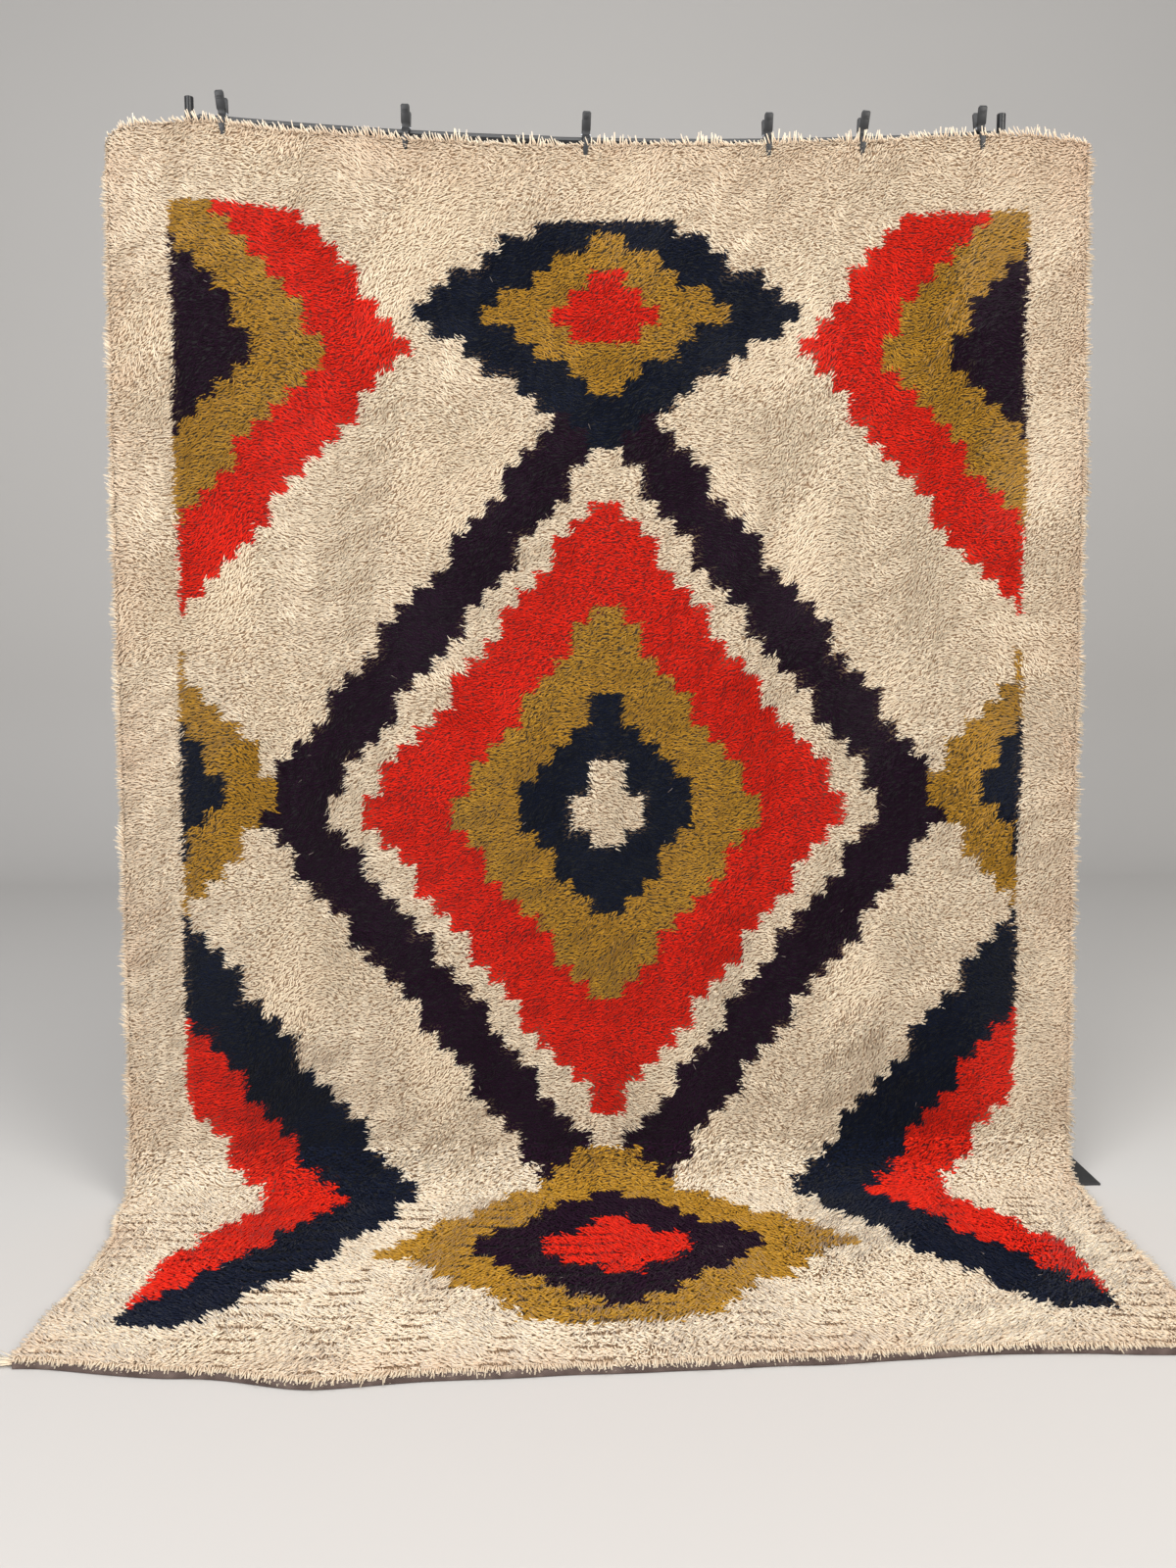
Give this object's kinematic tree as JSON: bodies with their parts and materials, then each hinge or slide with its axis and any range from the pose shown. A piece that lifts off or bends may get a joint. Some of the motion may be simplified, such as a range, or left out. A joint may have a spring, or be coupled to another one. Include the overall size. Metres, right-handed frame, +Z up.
{
  "type": "rya rug clipped to a stand",
  "caption": "Thick shag rug hung by its top edge with spring clips from the crossbar of a free-standing stand, its foot lying forward on the floor.",
  "frame": {"origin": "on the floor, at the centre of the footprint of rug and stand together", "axes": "+Z up, +X to the right as the pile side is seen, +Y from the pile side towards the back"},
  "size_m": [2.6128, 1.1836, 2.8362],
  "materials": {
    "pile_wool": "thick knotted wool pile",
    "woven_tape": "woven",
    "black_steel": "satin black powder coat",
    "black_plastic": "moulded",
    "spring_steel": "zinc plated"
  },
  "bodies": {
    "root": {"rug": "pile_wool", "locks_top": "pile_wool", "locks_front": "pile_wool", "locks_left_hung": "pile_wool", "locks_left_bend": "pile_wool", "locks_left_floor": "pile_wool", "locks_right_hung": "pile_wool", "locks_right_bend": "pile_wool", "locks_right_floor": "pile_wool", "edge_binding": "woven_tape", "crossbar_thick": "black_steel", "crossbar_thin": "black_steel", "bar_hook_left": "black_steel", "bar_hook_right": "black_steel", "base_plate_left": "black_steel", "base_socket_left": "black_steel", "post_lower_left": "black_steel", "post_collar_left": "black_steel", "post_upper_left": "black_steel", "base_plate_right": "black_steel", "base_socket_right": "black_steel", "post_lower_right": "black_steel", "post_collar_right": "black_steel", "post_upper_right": "black_steel", "clip_1_front": "black_plastic", "clip_1_back": "black_plastic", "clip_1_coil": "spring_steel", "clip_2_front": "black_plastic", "clip_2_back": "black_plastic", "clip_2_coil": "spring_steel", "clip_3_front": "black_plastic", "clip_3_back": "black_plastic", "clip_3_coil": "spring_steel", "clip_4_front": "black_plastic", "clip_4_back": "black_plastic", "clip_4_coil": "spring_steel", "clip_5_front": "black_plastic", "clip_5_back": "black_plastic", "clip_5_coil": "spring_steel", "clip_6_front": "black_plastic", "clip_6_back": "black_plastic", "clip_6_coil": "spring_steel"}
  },
  "joints": []
}
